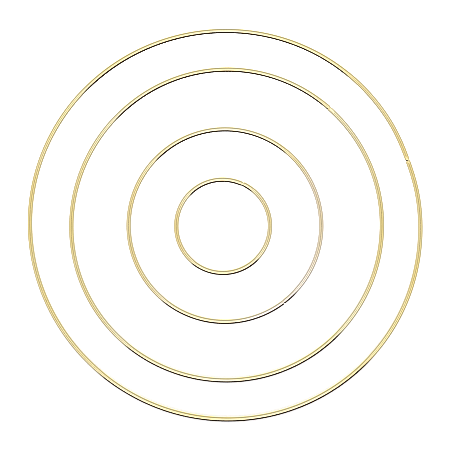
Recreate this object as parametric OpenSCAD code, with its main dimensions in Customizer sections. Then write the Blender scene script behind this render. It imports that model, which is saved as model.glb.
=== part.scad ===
// A set of four loose metal hoops, used as frames for wreaths and wall hangings.
// Each hoop is one round wire, bent into a ring and closed by a butt weld.
// The hoops lie one inside another, flat on a table whose top is at z = 0.
// The origin is the middle of the largest hoop, at table level. Sizes are in millimetres.

/* [Wire] */
// Thickness of the round wire
wire_d = 2.5; // [2:0.1:3]

/* [Weld] */
// Length of the fused metal, along the wire
weld_len = 2; // [1:0.1:4]
// How far the weld is drawn in at the hoop's inner and outer side
weld_neck = 0.15; // [0:0.05:0.4]
// How far the weld swells above and below the wire before it is dressed flat
weld_swell = 0.1; // [0.05:0.05:0.3]

/* [Extra large hoop] */
// Outside diameter
extra_large_d = 200; // [190:1:210]
// Direction of its weld from the hoop's middle, anticlockwise from +X
extra_large_weld_at = 19.5; // [-180:0.5:180]

/* [Large hoop] */
// Outside diameter
large_d = 160; // [150:1:170]
// Direction of its weld from the hoop's middle, anticlockwise from +X
large_weld_at = 49; // [-180:0.5:180]
// Where its middle lies from the origin
large_middle = [0.6, -0.15]; // [-2:0.05:2]

/* [Medium hoop] */
// Outside diameter
medium_d = 100; // [90:1:110]
// Direction of its weld from the hoop's middle, anticlockwise from +X
medium_weld_at = -52.5; // [-180:0.5:180]
// Where its middle lies from the origin
medium_middle = [-0.3, -0.2]; // [-2:0.05:2]

/* [Small hoop] */
// Outside diameter
small_d = 50; // [40:1:60]
// Direction of its weld from the hoop's middle, anticlockwise from +X
small_weld_at = 64.5; // [-180:0.5:180]
// Where its middle lies from the origin
small_middle = [-1.35, -0.55]; // [-2:0.05:2]

/* [Hidden] */

extra_large_middle = [0, 0];
light_gold = [0.90, 0.80, 0.55];
weld_gold = [0.80, 0.70, 0.48];
hoop_sides = 240;
section_sides = 48;

// The wire's centre line is a circle of this radius
function bend_r(outside_d) = (outside_d - wire_d) / 2;

// The angle that the weld takes up, seen from the hoop's middle
function weld_angle(outside_d) = weld_len / bend_r(outside_d) * 180 / PI;

// Sweeps a flat section round part of a hoop that lies on the table
module bend(outside_d, middle, start, sweep) {
    translate([middle[0], middle[1], wire_d / 2])
        rotate(start)
            rotate_extrude(angle = sweep, $fn = hoop_sides)
                translate([bend_r(outside_d), 0])
                    children();
}

// The bent wire: a round section that stops square at either side of the weld
module hoop_wire(outside_d, middle, weld_at) {
    weld_part = weld_angle(outside_d);
    color(light_gold)
        bend(outside_d, middle, weld_at + weld_part / 2, 360 - weld_part)
            circle(d = wire_d, $fn = section_sides);
}

// The weld: fused metal that is narrow across the hoop and dressed flat above and below
module hoop_weld(outside_d, middle, weld_at) {
    weld_part = weld_angle(outside_d);
    color(weld_gold)
        bend(outside_d, middle, weld_at - weld_part / 2, weld_part)
            intersection() {
                circle(d = wire_d + 2 * weld_swell, $fn = section_sides);
                square([wire_d - 2 * weld_neck, wire_d], center = true);
            }
}

module extra_large_hoop_wire() {
    hoop_wire(extra_large_d, extra_large_middle, extra_large_weld_at);
}

module extra_large_hoop_weld() {
    hoop_weld(extra_large_d, extra_large_middle, extra_large_weld_at);
}

module large_hoop_wire() {
    hoop_wire(large_d, large_middle, large_weld_at);
}

module large_hoop_weld() {
    hoop_weld(large_d, large_middle, large_weld_at);
}

module medium_hoop_wire() {
    hoop_wire(medium_d, medium_middle, medium_weld_at);
}

module medium_hoop_weld() {
    hoop_weld(medium_d, medium_middle, medium_weld_at);
}

module small_hoop_wire() {
    hoop_wire(small_d, small_middle, small_weld_at);
}

module small_hoop_weld() {
    hoop_weld(small_d, small_middle, small_weld_at);
}

extra_large_hoop_wire();
extra_large_hoop_weld();
large_hoop_wire();
large_hoop_weld();
medium_hoop_wire();
medium_hoop_weld();
small_hoop_wire();
small_hoop_weld();
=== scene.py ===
"""Four loose gold-plated wire hoops, laid one inside another on a white table and seen from above."""

import math

import bpy
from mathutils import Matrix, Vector, noise


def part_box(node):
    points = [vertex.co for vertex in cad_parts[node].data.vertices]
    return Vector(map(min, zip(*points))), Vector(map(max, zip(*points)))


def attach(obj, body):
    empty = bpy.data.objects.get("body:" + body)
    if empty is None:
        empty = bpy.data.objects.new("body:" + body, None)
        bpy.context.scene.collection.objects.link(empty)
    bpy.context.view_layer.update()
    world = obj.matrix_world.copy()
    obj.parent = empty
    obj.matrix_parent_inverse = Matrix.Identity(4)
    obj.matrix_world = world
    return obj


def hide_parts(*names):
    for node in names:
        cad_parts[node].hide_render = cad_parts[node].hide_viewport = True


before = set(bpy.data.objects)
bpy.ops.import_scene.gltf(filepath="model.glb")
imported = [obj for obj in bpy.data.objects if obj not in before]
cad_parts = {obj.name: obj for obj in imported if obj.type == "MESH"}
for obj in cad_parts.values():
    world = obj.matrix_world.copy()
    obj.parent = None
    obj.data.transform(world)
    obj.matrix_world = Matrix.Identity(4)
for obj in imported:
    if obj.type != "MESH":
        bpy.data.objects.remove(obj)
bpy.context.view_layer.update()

MM = 0.001

# ---------------------------------------------------------------- what each hoop is like

# Lengths in this table are in mm and angles in degrees. Along the wire, a place is counted from
# the middle of the weld, anticlockwise seen from above. Round the wire, 0 is the hoop's outer
# side, 90 the top, 180 the inner side and 270 the underside.
#
# lobes:  how the hand-formed hoop is out of round: how many bulges, how far out, and the
#         direction of one of them. None makes it larger all round, and one moves it that way.
#         These amounts are a program's least-squares fit to the photo, and not a design.
# flat:   how far the stretch round the weld is drawn in towards the hoop's middle
# step:   how far the wire's end after the weld stands outside the end before it
# lift:   how far the side across from the weld stands off the table
# dips:   where the surface is drawn in, or stands out if the depth is less than zero: how deep,
#         where along the wire, its reach before and after that, on which side, and how wide
# facet:  a place ground flat on top: from where, to where, how deep, and its slope across and
#         along the wire
# tint:   the plating's colour
HOOPS = {
    "extra_large": dict(
        lobes=[(0, 0.01, 0), (1, 0.035, -79), (2, 0.50, -29), (3, 0.23, -59), (4, 0.10, -24),
               (5, 0.04, -21)],
        flat=0.45,
        step=0.0,
        lift=0.10,
        dips=[
            (0.06, 0.1, 0.8, 0.9, 0, 400),
            (0.355, -0.36, 0.12, 0.44, 105, 85),
            (0.34, -0.02, 0.42, 0.42, 180, 38),
            (0.30, 0.65, 0.50, 0.60, 0, 34),
            (0.11, 0.30, 1.20, 1.20, 105, 50),
            (-0.16, -1.05, 0.28, 0.28, 182, 16),
        ],
        facet=None,
        tint=(0.91, 0.735, 0.285),
    ),
    "large": dict(
        lobes=[(1, 0.02, 120), (2, 0.185, 43), (3, 0.13, -34), (4, 0.05, 11)],
        flat=0.0,
        step=0.15,
        lift=0.08,
        dips=[
            (0.24, -0.28, 0.50, 0.45, 0, 42),
            (0.12, 0.12, 0.24, 0.30, 140, 48),
            (0.10, 0.22, 0.30, 0.30, 195, 30),
        ],
        facet=(-4.4, 0.0, 0.13, -0.02, -0.02),
        tint=(0.90, 0.74, 0.31),
    ),
    "medium": dict(
        lobes=[(0, 0.07, 0), (1, 0.06, -94), (2, 0.04, 2), (3, 0.02, -26), (4, 0.03, -13)],
        flat=0.0,
        step=-0.12,
        lift=0.06,
        dips=[
            (0.44, -0.18, 0.34, 0.34, 0, 46),
            (0.24, 0.34, 0.30, 0.30, 180, 42),
        ],
        facet=None,
        tint=(0.905, 0.74, 0.32),
    ),
    "small": dict(
        lobes=[(0, -0.035, 0), (1, 0.035, -78), (2, 0.05, -8), (3, 0.04, 4), (4, 0.01, 26)],
        flat=0.0,
        step=-0.17,
        lift=0.04,
        dips=[
            (0.38, 0.22, 0.40, 0.40, 0, 46),
            (0.20, 0.13, 0.85, 0.85, 185, 45),
        ],
        facet=None,
        tint=(0.905, 0.74, 0.325),
    ),
}

# The medium hoop's plating is paler and pinker between these two directions from its middle
PALE_TINT = (0.89, 0.745, 0.45)
PALE_FROM = math.radians(-78)
PALE_TO = math.radians(32)
PALE_FADE = 9 * MM  # the change takes this far on either side of each of them

# The mesh
AROUND = 60  # points round the wire's section
LONG_STEP = 0.9 * MM  # spacing along the plain wire
FINE_STEP = 0.07 * MM  # spacing where the weld shapes the wire
FINE_REACH = 5.5 * MM  # how far the fine spacing goes on either side of the weld's middle
TANGENT_REACH = 0.05 * MM  # the wire's direction is taken between the points this far either way
HAIR = 0.003 * MM  # from each end to the ring beside it, so that the end's soft rim is a hairline

# The weld
JOIN = 1.0 * MM  # the fused metal reaches this far on either side of the weld's middle
FLAT_REACH = 14 * MM  # how far the stretch that is drawn in reaches on either side
SWELL = 0.10 * MM  # how far the fused metal swells below before it is dressed flat
SWELL_WIDTH = 45  # how wide the swelling is round the wire, in degrees
SWELL_END = 1.25  # where the swelling ends along the wire, in mm from the weld's middle
GRAIN = 0.008 * MM  # how uneven the fused metal is
GRAINS_ACROSS = 3.0  # how closely the unevenness is packed: round the wire, for each radius
GRAINS_ALONG = 2.4  # and along it, for each mm
HOOP_GRAIN = 50  # moves the pattern by this much for each metre of wire, so no two welds match
FACET_START = 1.2  # the ground facet comes in over this length, in mm
FACET_STOP = 0.4  # and goes out over this one
FACET_CLEAR = 0.1 * MM  # how far over the wire its plane is held where nothing is ground off
UNDERSIDE = 270  # its turn round the wire, in degrees


def eased(share):
    """A smooth rise from 0 to 1 as share goes from 0 to 1."""
    share = min(1.0, max(0.0, share))
    return share * share * (3 - 2 * share)


def hump(distance, before, after):
    """1 at distance 0, falling off smoothly over the reach on either side."""
    return math.exp(-((distance / (before if distance < 0 else after)) ** 2))


def between_turns(turned, side):
    """The turn from side to turned the short way round, in degrees."""
    return (turned - side + 180) % 360 - 180


class Hoop:
    """Where a hoop lies, read from its CAD wire and weld, and the shape of its surface."""

    def __init__(self, name):
        self.name = name
        shape = HOOPS[name]
        low, high = (Vector(v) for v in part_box(f"{name}_hoop_wire"))
        self.middle = (low + high) / 2
        self.wire_r = (high.z - low.z) / 2
        self.bend_r = (high.x - low.x) / 2 - self.wire_r
        weld_low, weld_high = (Vector(v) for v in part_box(f"{name}_hoop_weld"))
        out = (weld_low + weld_high) / 2 - self.middle
        self.weld_at = math.atan2(out.y, out.x)
        self.length = 2 * math.pi * self.bend_r
        self.lobes = [(k, a * MM, math.radians(p)) for k, a, p in shape["lobes"]]
        self.flat = shape["flat"] * MM
        self.step = shape["step"] * MM
        self.lift = shape["lift"] * MM
        self.dips = shape["dips"]
        self.facet = shape["facet"]

    def signed(self, s):
        """The place s counted the short way round, from minus to plus half the length."""
        return s - self.length if s > self.length / 2 else s

    def angle(self, s):
        """The direction from the hoop's middle of the place s along the wire."""
        return self.weld_at + s / self.bend_r

    def point(self, s):
        """The centre line's point there."""
        angle, near = self.angle(s), self.signed(s)
        r = self.bend_r + sum(a * math.cos(k * (angle - p)) for k, a, p in self.lobes)
        r -= self.flat * hump(near, FLAT_REACH, FLAT_REACH)
        half_step = math.copysign(eased(abs(near) / JOIN) / 2, near)
        r += self.step * (half_step - near / self.length)
        high = self.lift * (0.5 - 0.5 * math.cos(near / self.bend_r))
        return self.middle + Vector((r * math.cos(angle), r * math.sin(angle), high))

    def axes(self, s):
        """The outward and the upward direction, square to the wire."""
        forward = (self.point(s + TANGENT_REACH) - self.point(s - TANGENT_REACH)).normalized()
        outward = forward.cross(Vector((0, 0, 1))).normalized()
        return outward, outward.cross(forward)

    def radius(self, along, turn):
        """How far the surface is from the centre line, at a place in mm along the wire and a
        turn round it."""
        r = self.wire_r
        if abs(along) >= FINE_REACH / MM:
            return r
        turned = math.degrees(turn)
        for depth, at, before, after, side, wide in self.dips:
            across = hump(between_turns(turned, side), wide, wide)
            r -= depth * MM * hump(along - at, before, after) * across
        fused = eased(SWELL_END - abs(along))
        r += SWELL * fused * hump(between_turns(turned, UNDERSIDE), SWELL_WIDTH, SWELL_WIDTH)
        spot = GRAINS_ACROSS * Vector((math.cos(turn), math.sin(turn), 0))
        spot += Vector((self.length * HOOP_GRAIN, 0, along * GRAINS_ALONG))
        return r + GRAIN * fused * noise.noise(spot)

    def ground_top(self, along, out):
        """How high the ground facet's plane is there, out from the centre line."""
        start, stop, deep, across, slope = self.facet
        share = eased((along - start) / FACET_START) * eased((stop - along) / FACET_STOP)
        top = self.wire_r - deep * MM * share + (1 - share) * FACET_CLEAR
        return top + across * out + slope * (along - (start + stop) / 2) * MM * share

    def section(self, s, turn):
        """How far out and how far up from the centre line the surface is, at a place along
        the wire and a turn round it. The underside is dressed level with the wire."""
        along = self.signed(s) / MM
        r = self.radius(along, turn)
        out = r * math.cos(turn)
        high = max(r * math.sin(turn), -self.wire_r)
        if self.facet:
            high = min(high, self.ground_top(along, out))
        return out, high


def spaced(start, stop, step):
    """Evenly spaced values from start up to, and without, stop."""
    count = max(1, round((stop - start) / step))
    return [start + (stop - start) * i / count for i in range(count)]


def tube_faces(rings):
    """The faces of a closed tube's wall, ring by ring, and those of its two ends. They count
    the points of all the rings first, and then the middle point of each end."""
    wall, ends = [], []
    for j in range(rings - 1):
        for i in range(AROUND):
            a = j * AROUND + i
            b = j * AROUND + (i + 1) % AROUND
            wall.append((a, a + AROUND, b + AROUND, b))
    for middle, ring, order in ((rings * AROUND, 0, 1), (rings * AROUND + 1, rings - 1, -1)):
        for i in range(AROUND):
            a = ring * AROUND + i
            b = ring * AROUND + (i + 1) % AROUND
            ends.append((middle, a, b)[::order])
    return wall, ends


def swept(hoop, name, stations):
    """A closed piece of the hoop between the first and the last of the stations, which are
    places along the wire. Each point keeps its place on the straightened wire, for the
    materials. The piece's gloss shows the tent, and not the hoops beside it."""
    first, *between, end = stations
    stations = [first, first + HAIR, *between, end - HAIR, end]
    points, straight = [], []
    for s in stations:
        centre = hoop.point(s)
        outward, up = hoop.axes(s)
        for i in range(AROUND):
            out, high = hoop.section(s, 2 * math.pi * i / AROUND)
            points.append(centre + outward * out + up * high)
            straight.append((out, high, s))
    for s, ring in ((first, points[:AROUND]), (end, points[-AROUND:])):
        points.append(sum(ring, Vector()) / AROUND)
        straight.append((0.0, 0.0, s))
    wall, ends = tube_faces(len(stations))
    mesh = bpy.data.meshes.new(name)
    mesh.from_pydata([tuple(p) for p in points], [], wall + ends)
    mesh.validate()
    mesh.update()
    place = mesh.attributes.new("straight", "FLOAT_VECTOR", "POINT")
    for item, value in zip(place.data, straight):
        item.vector = value
    for polygon in mesh.polygons:
        polygon.use_smooth = polygon.index < len(wall)
    piece = bpy.data.objects.new(name, mesh)
    bpy.context.scene.collection.objects.link(piece)
    piece.visible_glossy = False
    return piece


def build_wire(hoop, material):
    """The bent wire, from one side of the weld round to the other."""
    stations = spaced(JOIN, FINE_REACH, FINE_STEP)
    stations += spaced(FINE_REACH, hoop.length - FINE_REACH, LONG_STEP)
    stations += spaced(hoop.length - FINE_REACH, hoop.length - JOIN, FINE_STEP)
    stations.append(hoop.length - JOIN)
    wire = swept(hoop, f"{hoop.name}_hoop_bent_wire", stations)
    wire.data.materials.append(material)
    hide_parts(f"{hoop.name}_hoop_wire")
    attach(wire, f"{hoop.name}_hoop")
    return wire


def build_weld(hoop, material):
    """The fused metal between the wire's two ends."""
    stations = spaced(-JOIN, JOIN, FINE_STEP) + [JOIN]
    weld = swept(hoop, f"{hoop.name}_hoop_weld_bead", stations)
    weld.data.materials.append(material)
    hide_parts(f"{hoop.name}_hoop_weld")
    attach(weld, f"{hoop.name}_hoop")
    return weld


# ---------------------------------------------------------------- plating

# Each pattern is noise: the sizes of its grains in mm (across the wire, up, and along it), its
# detail, and the two levels of the noise between which the pattern comes in
DRIFT = ((4, 4, 35), 1.0, 0.3, 0.7)
THIN_SPOTS = ((0.5, 0.5, 2.5), 3.0, 0.58, 0.80)
PINHOLES = ((0.09, 0.09, 0.12), 0.0, 0.80, 0.86)
SMEARS = ((1.5, 1.5, 9), 3.0, 0.35, 0.75)
STREAKS = ((0.10, 0.10, 12), 2.0, 0.55, 0.75)
NICKS = ((0.16, 0.16, 0.07), 0.0, 0.74, 0.82)

# These two are used whole: their grains' sizes and detail
DRAW_LINES = ((0.045, 0.045, 20), 2.0)
PEEL = ((0.35, 0.35, 0.5), 1.0)

WARM_DRIFT = (1.01, 0.985, 0.90)  # the tint is multiplied by this at one end of the drift
COOL_DRIFT = (0.99, 1.01, 1.12)  # and by this at the other end
THIN_COLOUR = (0.80, 0.70, 0.50, 1)
THIN_SHARE = 0.10  # how far a thin spot takes on its colour
PINHOLE_COLOUR = (0.30, 0.22, 0.12, 1)
PINHOLE_SHARE = 0.6

ROUGHNESS = 0.085
FUSED_ROUGHNESS = 0.17
SMEAR_ROUGHNESS = 0.05  # what a smear adds
STREAK_ROUGHNESS = 0.05  # what a rubbed streak adds

LINE_DEPTH = 0.0010 * MM
PEEL_DEPTH = 0.0016 * MM
FUSED_PEEL_DEPTH = 0.006 * MM
NICK_DEPTH = 0.004 * MM


class Nodes:
    """Short names for making nodes and links, in a material or in the world."""

    def __init__(self, tree):
        self.nodes, self.links = tree.nodes, tree.links

    def link(self, value, socket):
        """Puts a number, a tuple or another node's output into a socket."""
        if isinstance(value, bpy.types.NodeSocket):
            self.links.new(value, socket)
        else:
            socket.default_value = value

    def maths(self, operation, *values):
        """The result of one operation on numbers or other nodes' outputs."""
        node = self.nodes.new("ShaderNodeMath")
        node.operation = operation
        for socket, value in zip(node.inputs, values):
            self.link(value, socket)
        return node.outputs[0]

    def between(self, value, low, high, to_low=0.0, to_high=1.0):
        """A smooth change from to_low to to_high as value goes from low to high."""
        node = self.nodes.new("ShaderNodeMapRange")
        node.interpolation_type = "SMOOTHSTEP"
        for socket, item in zip(node.inputs, (value, low, high, to_low, to_high)):
            self.link(item, socket)
        return node.outputs[0]

    def noise(self, place, sizes, detail):
        """Noise whose grains have the given sizes, in mm, along each of place's axes."""
        scaled = self.nodes.new("ShaderNodeVectorMath")
        scaled.operation = "MULTIPLY"
        self.link(place, scaled.inputs[0])
        scaled.inputs[1].default_value = [1 / (size * MM) for size in sizes]
        node = self.nodes.new("ShaderNodeTexNoise")
        self.links.new(scaled.outputs[0], node.inputs["Vector"])
        node.inputs["Scale"].default_value = 1.0
        node.inputs["Detail"].default_value = detail
        return node.outputs[0]

    def pattern(self, place, kind, to_low=0.0, to_high=1.0):
        """A change from to_low to to_high where one of the patterns above comes in."""
        sizes, detail, low, high = kind
        return self.between(self.noise(place, sizes, detail), low, high, to_low, to_high)

    def mix(self, share, first, second):
        """A colour between first and second."""
        node = self.nodes.new("ShaderNodeMix")
        node.data_type = "RGBA"
        sockets = [s for s in node.inputs if s.type == "RGBA"]
        self.link(share, node.inputs["Factor"])
        self.link(first, sockets[0])
        self.link(second, sockets[1])
        return next(s for s in node.outputs if s.type == "RGBA")


def tinted(tint, shares):
    """The tint with each of its three colours times a share."""
    return (*(c * k for c, k in zip(tint, shares)), 1)


def plating_colour(made, place, tint, pale):
    """The bath's slow drift along the wire, thin spots and dark pinholes. pale is None, or how
    far along the wire the pale stretch that crosses the weld ends, and where it starts again."""
    drift = made.pattern(place, DRIFT)
    colour = made.mix(drift, tinted(tint, WARM_DRIFT), tinted(tint, COOL_DRIFT))
    if pale:
        end, start = pale
        split = made.nodes.new("ShaderNodeSeparateXYZ")
        made.links.new(place, split.inputs[0])
        along = split.outputs["Z"]
        before_end = made.between(along, end + PALE_FADE, end - PALE_FADE)
        after_start = made.between(along, start + PALE_FADE, start - PALE_FADE, 1.0, 0.0)
        colour = made.mix(made.maths("MAXIMUM", before_end, after_start), colour, (*PALE_TINT, 1))
    thin = made.pattern(place, THIN_SPOTS, 0.0, THIN_SHARE)
    colour = made.mix(thin, colour, THIN_COLOUR)
    pinhole = made.pattern(place, PINHOLES, 0.0, PINHOLE_SHARE)
    return made.mix(pinhole, colour, PINHOLE_COLOUR)


def plating_roughness(made, place, fused):
    """Bright, with faint smears and with rubbed streaks along the wire."""
    base = FUSED_ROUGHNESS if fused else ROUGHNESS
    smeared = made.pattern(place, SMEARS, base, base + SMEAR_ROUGHNESS)
    return made.maths("ADD", smeared, made.pattern(place, STREAKS, 0.0, STREAK_ROUGHNESS))


def plating_relief(made, place, fused):
    """Draw lines along the wire, the bath's faint orange peel, and nicks."""
    lines = made.noise(place, *DRAW_LINES)
    peel = made.noise(place, *PEEL)
    nick = made.pattern(place, NICKS, 0.0, -1.0)
    peel_depth = FUSED_PEEL_DEPTH if fused else PEEL_DEPTH
    normal = None
    for height, depth in ((lines, LINE_DEPTH), (peel, peel_depth), (nick, NICK_DEPTH)):
        bump = made.nodes.new("ShaderNodeBump")
        bump.inputs["Strength"].default_value = 1.0
        bump.inputs["Distance"].default_value = depth
        made.links.new(height, bump.inputs["Height"])
        if normal:
            made.links.new(normal, bump.inputs["Normal"])
        normal = bump.outputs[0]
    return normal


def plating(name, tint, fused=False, pale=None):
    """Light-gold plating on drawn wire, or on fused metal."""
    material = bpy.data.materials.new(name)
    material.use_nodes = True
    made = Nodes(material.node_tree)
    shader = material.node_tree.nodes["Principled BSDF"]
    shader.inputs["Metallic"].default_value = 1.0
    attribute = made.nodes.new("ShaderNodeAttribute")
    attribute.attribute_name = "straight"
    place = attribute.outputs["Vector"]
    made.links.new(plating_colour(made, place, tint, pale), shader.inputs["Base Color"])
    made.links.new(plating_roughness(made, place, fused), shader.inputs["Roughness"])
    made.links.new(plating_relief(made, place, fused), shader.inputs["Normal"])
    return material


# ---------------------------------------------------------------- table, light and camera

TABLE_HALF = 3.0  # half the table's side, in metres
TABLE_COLOUR = (0.9, 0.9, 0.62, 1)
TABLE_ROUGHNESS = 0.9
NEAR_PAINTED_LIGHT = (0.32, 0.30, 0.40, 1)  # painted light: the glow that the table gives out itself at its near side
FAR_PAINTED_LIGHT = (2.2, 2.2, 2.3, 1)  # and at its far side, brighter, as though a lamp stood there
PAINTED_LIGHT_REACH = 110 * MM  # the painted glow changes from this far in front of the middle to this far behind
PAINTED_LIGHT_CURVE = 2.0  # the power that its rise follows


def build_table():
    """A white table top, lit past white by the tent and by its own glow. The glow is painted light,
    brighter towards the far side as though a lamp stood there. The wire's gloss doesn't
    show it: what the gloss shows below the table's level is the light tent's lower part."""
    half = TABLE_HALF
    mesh = bpy.data.meshes.new("table_top")
    corners = [(-half, -half, 0), (half, -half, 0), (half, half, 0), (-half, half, 0)]
    mesh.from_pydata(corners, [], [(0, 1, 2, 3)])
    table = bpy.data.objects.new("table_top", mesh)
    bpy.context.scene.collection.objects.link(table)
    material = bpy.data.materials.new("white_table")
    material.use_nodes = True
    made = Nodes(material.node_tree)
    shader = material.node_tree.nodes["Principled BSDF"]
    shader.inputs["Base Color"].default_value = TABLE_COLOUR
    shader.inputs["Roughness"].default_value = TABLE_ROUGHNESS
    shader.inputs["Specular IOR Level"].default_value = 0.0
    shader.inputs["Emission Strength"].default_value = 1.0
    place = made.nodes.new("ShaderNodeTexCoord")
    split = made.nodes.new("ShaderNodeSeparateXYZ")
    made.links.new(place.outputs["Object"], split.inputs[0])
    # painted light: the table's own glow rises towards its far side, standing in for a lamp there
    far_share = made.nodes.new("ShaderNodeMapRange")
    far_share.inputs["From Min"].default_value = -PAINTED_LIGHT_REACH
    far_share.inputs["From Max"].default_value = PAINTED_LIGHT_REACH
    made.links.new(split.outputs["Y"], far_share.inputs["Value"])
    far_share = made.maths("POWER", far_share.outputs[0], PAINTED_LIGHT_CURVE)
    painted_light = made.mix(far_share, NEAR_PAINTED_LIGHT, FAR_PAINTED_LIGHT)
    made.links.new(painted_light, shader.inputs["Emission Color"])
    mesh.materials.append(material)
    table.visible_glossy = False


# The light's tints
NEUTRAL = (1.0, 1.0, 1.0)
PALE_BLUE = (0.97, 1.0, 1.25)
COOL = (0.94, 1.0, 1.38)
BLUE = (0.96, 1.0, 1.5)
WARM = (1.06, 1.0, 1.0)
KHAKI = (0.93, 1.0, 1.15)
BROWN = (1.5, 0.9, 0.5)
FULL = 2.5  # the brightness that a ramp's white stands for

# The tent's panels, from straight down to straight up. Each stop is an elevation in degrees, a
# brightness and a tint, set against brightness measured in the photo.
PANELS = {
    "east": [(-90, 1.15, PALE_BLUE), (-25, 0.85, PALE_BLUE), (0, 0.56, PALE_BLUE), (29, 0.68, PALE_BLUE),
             (48, 1.00, NEUTRAL), (60, 1.20, NEUTRAL), (72, 0.65, NEUTRAL), (90, 0.47, WARM)],
    "west": [(-90, 0.85, PALE_BLUE), (-25, 0.80, PALE_BLUE), (0, 0.72, PALE_BLUE), (29, 0.92, PALE_BLUE),
             (48, 1.00, NEUTRAL), (60, 0.89, NEUTRAL), (72, 0.51, NEUTRAL), (90, 0.45, WARM)],
    "north_corners": [(-90, 1.20, COOL), (-25, 0.92, COOL), (0, 0.54, COOL), (29, 0.46, COOL),
                      (45, 1.08, COOL), (60, 1.78, COOL), (74, 0.98, COOL), (90, 0.52, WARM)],
    "south_east_corner": [(-90, 1.00, COOL), (-25, 0.68, COOL), (0, 0.28, COOL), (29, 0.56, COOL),
                          (45, 1.60, COOL), (60, 1.70, COOL), (74, 0.62, COOL), (90, 0.42, WARM)],
    "south_west_corner": [(-90, 0.88, COOL), (-25, 0.66, COOL), (0, 0.33, COOL), (29, 0.75, COOL),
                          (45, 1.65, COOL), (57, 1.08, COOL), (70, 0.42, COOL), (90, 0.40, WARM)],
    "north": [(-90, 2.15, KHAKI), (-25, 1.28, KHAKI), (0, 0.66, KHAKI), (32, 0.38, KHAKI),
              (50, 0.60, PALE_BLUE), (70, 1.36, BLUE), (90, 1.58, BLUE)],
    "south": [(-90, 0.017, BROWN), (41.7, 0.011, BROWN), (43.7, 2.00, BLUE), (60, 1.90, BLUE),
              (90, 1.62, BLUE)],
}
TENT_TURN = math.radians(3.5)  # how far the tent is turned anticlockwise
PANEL_WIDTH = 0.93  # how wide the north and south panels are beside the side ones
PANEL_EDGE = 14.0  # how sharply the north and south panels change to the corners
CORNER_WIDTH = 3.0  # how far the corners reach into the side panels
SOUTH_SLOPE = 0.067  # how much higher the top of the south panel's dark part is to its east
MIN_LEVEL = 0.001  # keeps the tent's top and bottom from a division by nothing


def ramp(made, panel, height):
    """A panel's colour at a height: the sine of the elevation, put between 0 and 1."""
    node = made.nodes.new("ShaderNodeValToRGB")
    elements = node.color_ramp.elements
    while len(elements) < len(PANELS[panel]):
        elements.new(0.5)
    for element, (elevation, brightness, tint) in zip(elements, PANELS[panel]):
        element.position = (math.sin(math.radians(elevation)) + 1) / 2
        element.color = (*(brightness * c / FULL for c in tint), 1)
    made.links.new(height, node.inputs[0])
    return node.outputs["Color"]


def limited(made, value):
    """The value held between 0 and 1."""
    return made.maths("MINIMUM", made.maths("MAXIMUM", value, 0.0), 1.0)


def tent_colour(made, x, y, z):
    """The tent's colour in a direction: a bright panel to the north, one to the south whose
    lower part is dark, two softer ones at the sides, and corners that are brightest halfway up."""
    squares = made.maths("ADD", made.maths("MULTIPLY", x, x), made.maths("MULTIPLY", y, y))
    level = made.maths("MAXIMUM", made.maths("SQRT", squares), MIN_LEVEL)
    east_west = made.maths("DIVIDE", made.maths("ABSOLUTE", x), level)
    north_south = made.maths("DIVIDE", made.maths("ABSOLUTE", y), level)
    lean = made.maths("SUBTRACT", made.maths("MULTIPLY", north_south, PANEL_WIDTH), east_west)
    long_share = limited(made, made.maths("MULTIPLY_ADD", lean, PANEL_EDGE, 0.5))
    corner_share = made.maths("MULTIPLY", north_south, north_south)
    corner_share = limited(made, made.maths("MULTIPLY", corner_share, CORNER_WIDTH))
    in_south = made.maths("LESS_THAN", y, 0.0)
    in_west = made.maths("LESS_THAN", x, 0.0)
    height = made.maths("MULTIPLY_ADD", z, 0.5, 0.5)
    south_height = made.maths("SUBTRACT", height, made.maths("MULTIPLY", x, SOUTH_SLOPE))

    side = made.mix(in_west, ramp(made, "east", height), ramp(made, "west", height))
    south_east = ramp(made, "south_east_corner", height)
    south_west = ramp(made, "south_west_corner", height)
    south_corner = made.mix(in_west, south_east, south_west)
    corner = made.mix(in_south, ramp(made, "north_corners", height), south_corner)
    long_way = made.mix(in_south, ramp(made, "north", height), ramp(made, "south", south_height))
    return made.mix(long_share, made.mix(corner_share, side, corner), long_way)


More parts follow.
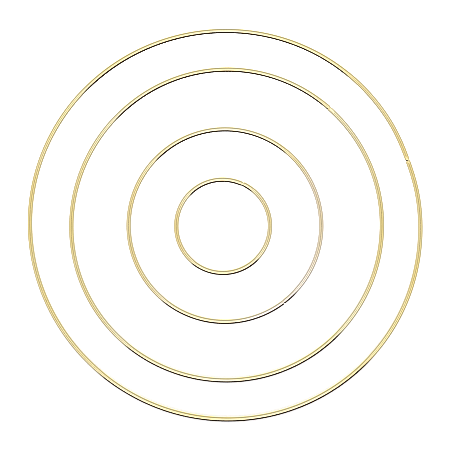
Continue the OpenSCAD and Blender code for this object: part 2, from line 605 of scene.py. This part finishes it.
def build_light():
    """A white tent round the table. Past the table's edge, the camera itself sees plain white."""
    world = bpy.data.worlds.new("light_tent")
    bpy.context.scene.world = world
    world.use_nodes = True
    world.node_tree.nodes.clear()
    made = Nodes(world.node_tree)
    place = made.nodes.new("ShaderNodeTexCoord")
    turned = made.nodes.new("ShaderNodeVectorRotate")
    turned.rotation_type = "Z_AXIS"
    turned.inputs["Angle"].default_value = -TENT_TURN
    made.links.new(place.outputs["Generated"], turned.inputs["Vector"])
    split = made.nodes.new("ShaderNodeSeparateXYZ")
    made.links.new(turned.outputs[0], split.inputs[0])
    ray = made.nodes.new("ShaderNodeLightPath")
    white = (1 / FULL, 1 / FULL, 1 / FULL, 1)
    colour = made.mix(ray.outputs["Is Camera Ray"], tent_colour(made, *split.outputs), white)
    background = made.nodes.new("ShaderNodeBackground")
    background.inputs["Strength"].default_value = FULL
    out = made.nodes.new("ShaderNodeOutputWorld")
    made.links.new(colour, background.inputs["Color"])
    made.links.new(background.outputs[0], out.inputs[0])


VIEW_WIDTH = 228.3 * MM  # what the camera takes in at the wire's height
CAMERA_AT = (-0.33 * MM, -0.055 * MM, 1.1)  # in metres
SENSOR_WIDTH = 36  # in mm
CLIP_END = 20  # in metres
PIXEL_FILTER = 0.75  # in pixels: narrower than usual, because the photo is crisp


def build_camera():
    """Straight above the hoops, at the photograph's scale."""
    wire_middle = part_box("extra_large_hoop_wire")[1][2] / 2
    camera_data = bpy.data.cameras.new("overhead")
    camera_data.sensor_width = SENSOR_WIDTH
    camera_data.lens = SENSOR_WIDTH * (CAMERA_AT[2] - wire_middle) / VIEW_WIDTH
    camera_data.clip_end = CLIP_END
    camera = bpy.data.objects.new("overhead", camera_data)
    camera.location = CAMERA_AT
    bpy.context.scene.collection.objects.link(camera)
    bpy.context.scene.camera = camera


# ---------------------------------------------------------------- the scene

def build_pale_hoop(name):
    """A hoop whose plating is pale along the stretch that its weld lies in."""
    hoop = Hoop(name)
    end = (PALE_TO - hoop.weld_at) * hoop.bend_r
    start = hoop.length - (hoop.weld_at - PALE_FROM) * hoop.bend_r
    wire = build_wire(hoop, plating("pale_gold_wire", HOOPS[name]["tint"], pale=(end, start)))
    weld = build_weld(hoop, plating("pale_gold_weld", PALE_TINT, fused=True))


def build_hoop(name):
    """A hoop with the same plating all round."""
    hoop = Hoop(name)
    tint = HOOPS[name]["tint"]
    wire = build_wire(hoop, plating(f"{name}_gold_wire", tint))
    weld = build_weld(hoop, plating(f"{name}_gold_weld", tint, fused=True))


build_camera()
build_light()
build_table()
bpy.context.scene.view_settings.view_transform = "Standard"
bpy.context.scene.cycles.filter_width = PIXEL_FILTER

build_hoop("extra_large")
build_hoop("large")
build_pale_hoop("medium")
build_hoop("small")
